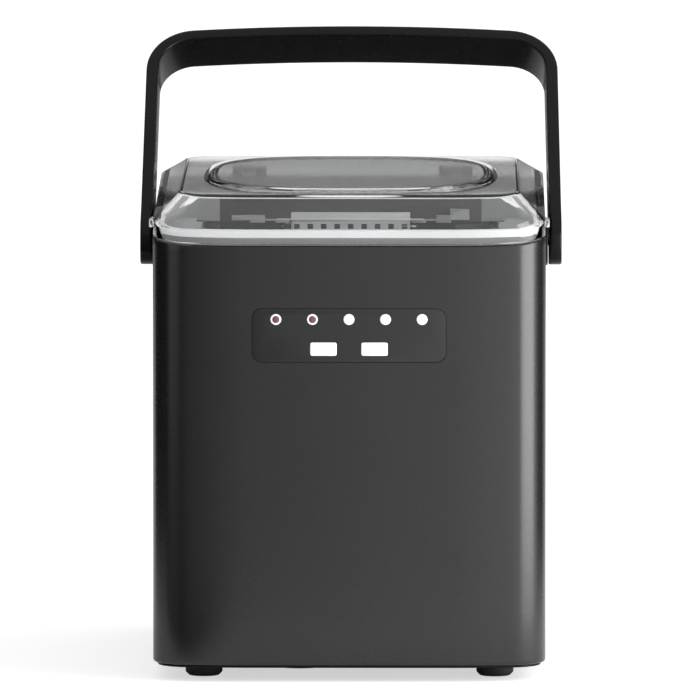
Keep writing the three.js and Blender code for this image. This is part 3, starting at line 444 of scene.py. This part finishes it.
def resample(points, count, centre_y):
    """Points of a closed outline where rays at equal steps of the panel's own angle meet it."""
    out = []
    for tx, ty in dome_outline(0, count):
        dx, dy = tx, ty - centre_y
        best = None
        for (ax, ay), (bx, by) in zip(points, points[1:] + points[:1]):
            ex, ey = bx - ax, by - ay
            den = dx * ey - dy * ex
            if abs(den) < 1e-12:
                continue
            t = (ax * ey - (ay - centre_y) * ex) / den
            s = (ax * dy - (ay - centre_y) * dx) / den
            if t > 0 and -1e-6 <= s <= 1 + 1e-6:
                best = t if best is None else min(best, t)
        out.append((dx * best, centre_y + dy * best))
    return out


def lid_level(inset, r):
    """The lid's outline, drawn in by inset."""
    return outline(HALF - GAP - inset, FRONT + GAP + inset, LID_REAR - inset, r)


def lid_top_rings(edge_inset, lift, dome_shrink, rise, fillet, count):
    """Rings from the top face's edge in to its middle, over the raised panel."""
    face = resample(lid_level(edge_inset, LID_TOP_R), count, DOME["mid"])
    dome = dome_outline(dome_shrink, count)

    def ring(points, extra):
        return [(x, y, LID_TOP + top_sweep(y) + lift + extra) for x, y in points]

    def blend(t):
        return [(a[0] + (b[0] - a[0]) * t, a[1] + (b[1] - a[1]) * t) for a, b in zip(face, dome)]

    rings = [ring(blend(t), 0) for t in (0.0, 0.02, 0.06, 0.3, 0.6, 0.85, 0.97)]
    steps = [(0.0, 0.0), (0.08, 0.12), (0.25, 0.42), (0.5, 0.72), (0.75, 0.93), (1.0, 1.0)]
    for across, up in steps:
        rings.append(ring(dome_outline(dome_shrink + fillet * across, count), rise * up))
    inner = dome_outline(dome_shrink + fillet, count)
    for k in (0.96, 0.85, 0.65, 0.45, 0.25, 0.08):
        rings.append(ring([(x * k, DOME["mid"] + (y - DOME["mid"]) * k) for x, y in inner], rise))
    return rings


def build_lid():
    """The clear lid: a rim, a slope and a top face with a raised panel, 2.4 mm thick throughout."""

    def ring(inset, r, height):
        pts = resample(lid_level(inset, r), LID_COUNT, DOME["mid"])
        return [(x, y, height(y)) for x, y in pts]

    def low(rise=0.0):
        return lambda y: LID_LOW + rim_sweep(y) + rise

    def rim(rise=0.0):
        return lambda y: RIM_TOP + rim_sweep(y) + rise

    def top(y):
        return LID_TOP + top_sweep(y)

    def slope(t, drop=0.0):
        """A ring part of the way up the outer slope."""
        r = CORNER_R + (LID_TOP_R - CORNER_R) * t
        return ring(LID_SLOPE * t, r, lambda y: rim()(y) + (top(y) - rim()(y)) * t - drop)

    def inner_slope(t):
        """A ring part of the way up the inner slope."""
        inset = LID_WALL + (LID_SLOPE - LID_WALL * 0.5) * t
        r = CORNER_R - LID_WALL + (LID_TOP_R - CORNER_R + LID_WALL) * t
        foot = rim(-LID_WALL * 0.4)
        return ring(inset, r, lambda y: foot(y) + (top(y) - LID_WALL - foot(y)) * t)

    outer = [ring(0.5, CORNER_R, low()), ring(0.15, CORNER_R, low(0.12)), ring(0, CORNER_R, low(0.45))]
    outer += [ring(0, CORNER_R, rim(-0.9)), ring(0.06, CORNER_R, rim(-0.35)), ring(0.3, CORNER_R, rim(0.15))]
    outer += [slope(t) for t in (0.03, 0.1, 0.35, 0.65, 0.9, 0.965)]
    outer += [slope(0.985, 0.02), slope(1.0, 0.09)]
    outer += lid_top_rings(LID_SLOPE + 0.45, 0.0, 0.0, DOME["rise"], DOME["fillet"], LID_COUNT)
    inner = [ring(LID_WALL - 0.4, CORNER_R - LID_WALL, low()), ring(LID_WALL, CORNER_R - LID_WALL, low(0.4))]
    inner += [ring(LID_WALL, CORNER_R - LID_WALL, rim(-LID_WALL * 0.4))]
    inner += [inner_slope(t) for t in (0.33, 0.66, 0.96, 1.0)]
    inner += lid_top_rings(LID_SLOPE + LID_WALL * 0.5 + 0.3, -LID_WALL, 4.0, DOME["rise"], 1.0, LID_COUNT)
    verts, faces = rings_to_faces(list(reversed(inner)) + outer)
    shell = new_piece("lid_shell", verts, faces, MAT["lid_clear"], "lid", sharp=60, slot="lid_clear")
    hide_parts("lid")


def rounded_block(name, x, y, z, edge, mat, body, slot):
    """A box with rounded edges; x, y and z are (low, high) pairs."""
    obj = new_piece(name, *box_mesh([(*x, *y, *z)]), MAT[mat], body, slot=slot)
    bm = bmesh.new()
    bm.from_mesh(obj.data)
    bmesh.ops.bevel(
        bm, geom=bm.edges[:] + bm.verts[:], offset=edge * MM, segments=4, profile=0.5, affect="EDGES",
    )
    bm.to_mesh(obj.data)
    bm.free()
    tidy_normals(obj)
    return obj


def build_lid_fittings():
    """The finger tabs at the lid's sides and the knuckles that its pins turn in."""
    tab_y, tab_z = (FRONT + 24, FRONT + 42), (RIM_TOP - 0.6, RIM_TOP + 4)
    knuckle = ((-3.5, 3.0), (-3.1, 3.4), (3.1, 3.4), (3.5, 3.0))
    for name, side in (("left", -1), ("right", 1)):
        tab_x = sorted((side * (HALF - GAP + 0.02), side * (HALF + 2.2)))
        rounded_block(f"lid_tab_{name}", tab_x, tab_y, tab_z, 0.9, "lid_clear", "lid", "lid_clear")
        rings = []
        for along, r in knuckle:
            x = side * KNUCKLE_X + along
            rings.append([(x, y, z) for y, z in circle(HINGE_Y, HINGE_Z, r, 32)])
        verts, faces = rings_to_faces(rings)
        new_piece(f"lid_knuckle_{name}", verts, faces, MAT["lid_clear"], "lid", slot="lid_clear")


# ---- Handle ----
def bail_path():
    """The strap's centre line in the handle's own plane.

    Each step is (x, up, outward x, outward up, half thickness, half width). They run up a round foot, an arm
    that leans in, a corner and half of a slightly crowned top, and then the same again mirrored.
    """
    b = BAIL
    half_t = b["thick"] / 2
    foot, side, top = b["root"] - half_t, b["shoulder"] - half_t, b["reach"] - half_t
    edge = top - b["crown"]
    r = b["corner"] - half_t + 0.6
    full = b["width"] / 2
    end_r = full + 0.5
    right = []
    for k in (-0.999, -0.98, -0.93, -0.85, -0.72, -0.55, -0.35, -0.15):
        right.append((foot, k * end_r, 1, 0, half_t, end_r * math.sqrt(1 - k * k)))
    lean = math.atan2(foot - side, edge - r)
    lean_x, lean_z = math.cos(lean), math.sin(lean)
    right.append((foot, 4.0, lean_x, lean_z, half_t, full + 0.25))
    for i in range(1, 12):
        t = 0.05 + 0.95 * i / 11
        right.append((foot + (side - foot) * t, (edge - r) * t, lean_x, lean_z, half_t, full))
    turn = math.radians(86)
    for i in range(1, 15):
        a = turn * i / 14
        nx, nz = math.cos(a), math.sin(a)
        right.append((side - r + r * nx, edge - r + r * nz, nx, nz, half_t, full))
    x0 = side - r + r * math.cos(turn)
    z0 = edge - r + r * math.sin(turn)
    rise = x0 * math.tan(math.pi / 2 - turn) / 2
    for i in range(1, 17):
        t = 1 - i / 16
        a = math.atan2(1, 2 * rise * t / x0)
        right.append((x0 * t, z0 + rise * (1 - t * t), math.cos(a), math.sin(a), half_t, full))
    left = [(-x, z, -nx, nz, h, w) for x, z, nx, nz, h, w in reversed(right[:-1])]
    return right + left


def strap_section(half_t, half_w, edge, arc=5):
    """A rounded rectangle of (thickness, width) points, thinner towards the front on its inner side."""
    edge = min(edge, half_w * 0.9)
    points = rounded_rect(-half_t, half_t, -half_w, half_w, edge, arc)
    draft = BAIL["draft"] * half_w / (BAIL["width"] / 2)
    return [(t + draft * (half_w - w) / (2 * half_w) * (half_t - t) / (2 * half_t), w) for t, w in points]


def cylinder_x(span, r):
    """A cylinder about the handle's pivot axis, between two x values."""
    return rings_to_faces([[(x, y, z) for y, z in circle(PIVOT_Y, PIVOT_Z, r)] for x in span])


def build_handle():
    """The carrying handle, leaning to the rear, with a pocket for each pivot screw."""
    turn = Matrix.Translation((0, PIVOT_Y, PIVOT_Z)) @ Matrix.Rotation(-LEAN, 4, "X")
    rings = []
    for x, up, nx, nz, half_t, half_w in bail_path():
        section = strap_section(half_t, half_w, BAIL_EDGE)
        rings.append([tuple(turn @ Vector((x + nx * t, w, up + nz * t))) for t, w in section])
    verts, faces = rings_to_faces(rings)
    paint = MAT["black_plastic"]
    bail = new_piece("carry_bail", verts, faces, paint, "handle", sharp=40, slot="black_plastic")
    cutters = []
    for side in (-1, 1):
        span = sorted((side * (BAIL["root"] - PIVOT_POCKET_DEPTH), side * (BAIL["root"] + 3)))
        cutters.append(cylinder_x(span, PIVOT_POCKET_R))
    cut(bail, cutters, sharp=40)
    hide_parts("carry_handle")


# ---- Control panel ----
def build_film():
    """The control panel's thin overlay, with holes for the buttons and lamps."""
    p = PANEL
    x, z0, z1 = p["half"] - GAP, p["low"] + GAP, p["high"] - GAP
    rings = plate_rings(-x, x, z0, z1, p["r"] - GAP, FRONT + 1.1, FRONT + 0.35, 0.25)
    film = new_piece("control_film", *rings_to_faces(rings), MAT["overlay"], "machine", slot="overlay")
    cut(film, control_holes(0.12))
    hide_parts("control_overlay")


def build_keys():
    """The two push buttons."""
    w, h, z = BUTTON["half"], BUTTON["tall"] / 2, BUTTON["z"]
    paint = MAT["white_plastic"]
    for name, x in (("power", -BUTTON["x"]), ("select", BUTTON["x"])):
        rings = plate_rings(x - w, x + w, z - h, z + h, BUTTON["r"], FRONT + 4.4, FRONT, 0.5)
        verts, faces = rings_to_faces(rings)
        key = new_piece(f"{name}_key", verts, faces, paint, f"{name}_button", slot="white_plastic")
        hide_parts(f"{name}_button")


def build_lamps():
    """The five lamps: white discs, of which the first ones are rings round a red lens."""
    white, red = MAT["lamp_white"], MAT["lamp_red"]
    for i, name in enumerate(LAMP_NAMES):
        x = (i - 2) * LAMP_PITCH
        rings = disc_rings(x, LAMP_Z, LAMP_R, FRONT + HOLE_DEPTH, FRONT + 0.1, 0.3)
        if i < RED_LAMPS:
            mouth = disc_rings(x, LAMP_Z, LENS_POCKET_R, FRONT + HOLE_DEPTH, FRONT + 0.1, 0.0)[-1]
            rings += [mouth, [(px, FRONT + LENS_POCKET_DEPTH, pz) for px, _, pz in mouth]]
            core = disc_rings(x, LAMP_Z, LENS_R, FRONT + LENS_POCKET_DEPTH - 0.01, FRONT + 0.2, 0.35)
            new_piece(f"lens_{name}", *rings_to_faces(core), red, "machine", slot="lamp_red")
        ring = new_piece(f"ring_{name}", *rings_to_faces(rings), white, "machine", slot="lamp_white")
        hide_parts(f"lamp_{name}")


# ---- Stage ----
def look_at(obj, target):
    """Turns obj so that its -Z points at target."""
    obj.rotation_mode = "QUATERNION"
    obj.rotation_quaternion = (Vector(target) - obj.location).to_track_quat("-Z", "Y")


def build_camera():
    """A long lens in front, a little above the object."""
    cam = bpy.data.objects.new("camera", bpy.data.cameras.new("camera"))
    SCENE.collection.objects.link(cam)
    cam.location = CAMERA_AT
    cam.data.sensor_width = CAMERA_SENSOR
    cam.data.lens = CAMERA_LENS
    cam.data.clip_start, cam.data.clip_end = 0.1, 200
    look_at(cam, CAMERA_AIM)
    SCENE.camera = cam


def area_light(name, at, target, size, power):
    """A rectangular light that the camera doesn't see."""
    data = bpy.data.lights.new(name, "AREA")
    data.shape, data.size, data.size_y = "RECTANGLE", size[0], size[1]
    data.energy = power
    lamp = bpy.data.objects.new(name, data)
    SCENE.collection.objects.link(lamp)
    lamp.location = at
    look_at(lamp, target)
    lamp.visible_camera = False


def stage_plane(name, size, z, color, camera, glow=0.0):
    """A floor plane that the camera alone sees, or that every ray but the camera's sees."""
    bm = bmesh.new()
    bmesh.ops.create_grid(bm, x_segments=1, y_segments=1, size=size)
    mesh = bpy.data.meshes.new(name)
    bm.to_mesh(mesh)
    bm.free()
    obj = bpy.data.objects.new(name, mesh)
    SCENE.collection.objects.link(obj)
    obj.location.z = z
    glows = {"Emission_Color": (1, 1, 1, 1), "Emission_Strength": glow}
    mesh.materials.append(material(f"{name}_paint", (color,) * 3, 0.8, spread=0.005, grain=0.0, **glows))
    obj.visible_camera = camera
    if camera:
        for ray in ("diffuse", "glossy", "transmission", "volume_scatter", "shadow"):
            setattr(obj, f"visible_{ray}", False)


def seen_only_by(obj, kept):
    """Leaves obj visible to one kind of ray."""
    for ray in ("camera", "diffuse", "glossy", "transmission", "volume_scatter", "shadow"):
        setattr(obj, f"visible_{ray}", ray == kept)


def card(name, at, target, size, grey):
    """A board that shows only in reflections."""
    verts = [(x * size[0] / 2, y * size[1] / 2, 0) for x, y in ((-1, -1), (1, -1), (1, 1), (-1, 1))]
    mesh = bpy.data.meshes.new(name)
    mesh.from_pydata(verts, [], [(0, 1, 2, 3)])
    obj = bpy.data.objects.new(name, mesh)
    SCENE.collection.objects.link(obj)
    obj.location = at
    look_at(obj, target)
    mesh.materials.append(material(f"{name}_paint", (grey,) * 3, 0.9, grain=0.0, Specular_IOR_Level=0.0))
    seen_only_by(obj, "glossy")


def front_glow():
    """A glowing board in front, brighter to the right, that shows only in reflections."""
    left, right, y, low, high = -0.36, 0.3, -0.47, 0.002, 0.6
    verts = [(left, y, low), (right, y, low), (right, y, high), (left, y, high)]
    mesh = bpy.data.meshes.new("front_glow")
    mesh.from_pydata(verts, [], [(0, 3, 2, 1)])
    obj = bpy.data.objects.new("front_glow", mesh)
    SCENE.collection.objects.link(obj)
    m = bpy.data.materials.new("front_glow_paint")
    m.use_nodes = True
    t = m.node_tree
    shader = t.nodes["Principled BSDF"]
    shader.inputs["Base Color"].default_value = (0, 0, 0, 1)
    shader.inputs["Specular IOR Level"].default_value = 0.0
    shader.inputs["Emission Color"].default_value = (1, 1, 1, 1)
    place = t.nodes.new("ShaderNodeTexCoord")
    axes = t.nodes.new("ShaderNodeSeparateXYZ")
    t.links.new(place.outputs["Object"], axes.inputs["Vector"])
    span = t.nodes.new("ShaderNodeMapRange")
    for key, value in (("From Min", -0.22), ("From Max", 0.3), ("To Min", 0.15), ("To Max", 2.2)):
        span.inputs[key].default_value = value
    t.links.new(axes.outputs["X"], span.inputs["Value"])
    t.links.new(span.outputs["Result"], shader.inputs["Emission Strength"])
    mesh.materials.append(m)
    seen_only_by(obj, "glossy")


def build_stage():
    """A white world, the floor, one soft light and the cards that shape the reflections."""
    world = bpy.data.worlds.new("studio")
    SCENE.world = world
    world.use_nodes = True
    sky = world.node_tree.nodes["Background"]
    sky.inputs["Color"].default_value = (1, 1, 1, 1)
    sky.inputs["Strength"].default_value = 1.0
    stage_plane("floor", 60, 0.0, 0.5, True, glow=0.6)
    stage_plane("floor_bounce", 60, -0.0003, 0.94, False)
    area_light("right_softbox", (0.66, -0.39, 0.3), (0.1, -0.14, 0.2), (0.52, 0.62), 8)
    # Dark boards beside the casing, which its rounded corners reflect.
    card("right_flag", (0.537, 0.122, 0.35), (0.1, -0.12, 0.35), (0.34, 0.8), 0.004)
    card("left_flag", (-0.587, -0.008, 0.35), (-0.1, -0.12, 0.35), (0.65, 0.8), 0.004)
    # Boards behind the object, which the lid's top and slopes reflect.
    card("rear_flag", (0, 2.2, 1.195), (0, 0, 1.195), (5.0, 1.408), 0.05)
    card("rear_band", (0, 2.19, 0.489), (0, 0, 0.489), (5.0, 0.005), 0.004)
    card("rear_left", (-1.34, 2.2, 0.244), (-1.34, 0, 0.244), (2.32, 0.484), 0.13)
    card("rear_right", (1.34, 2.2, 0.244), (1.34, 0, 0.244), (2.32, 0.484), 0.13)
    # A dark board on the floor at the front left, which the casing's lower left corner reflects.
    card("floor_flag", (-0.75, -0.9, 0.001), (-0.75, -0.9, 1.0), (1.3, 1.4), 0.004)
    front_glow()
    SCENE.view_settings.view_transform = "Standard"


dress_cad_nodes()
build_casing()
build_lid()
build_lid_fittings()
build_handle()
build_film()
build_keys()
build_lamps()
build_camera()
build_stage()
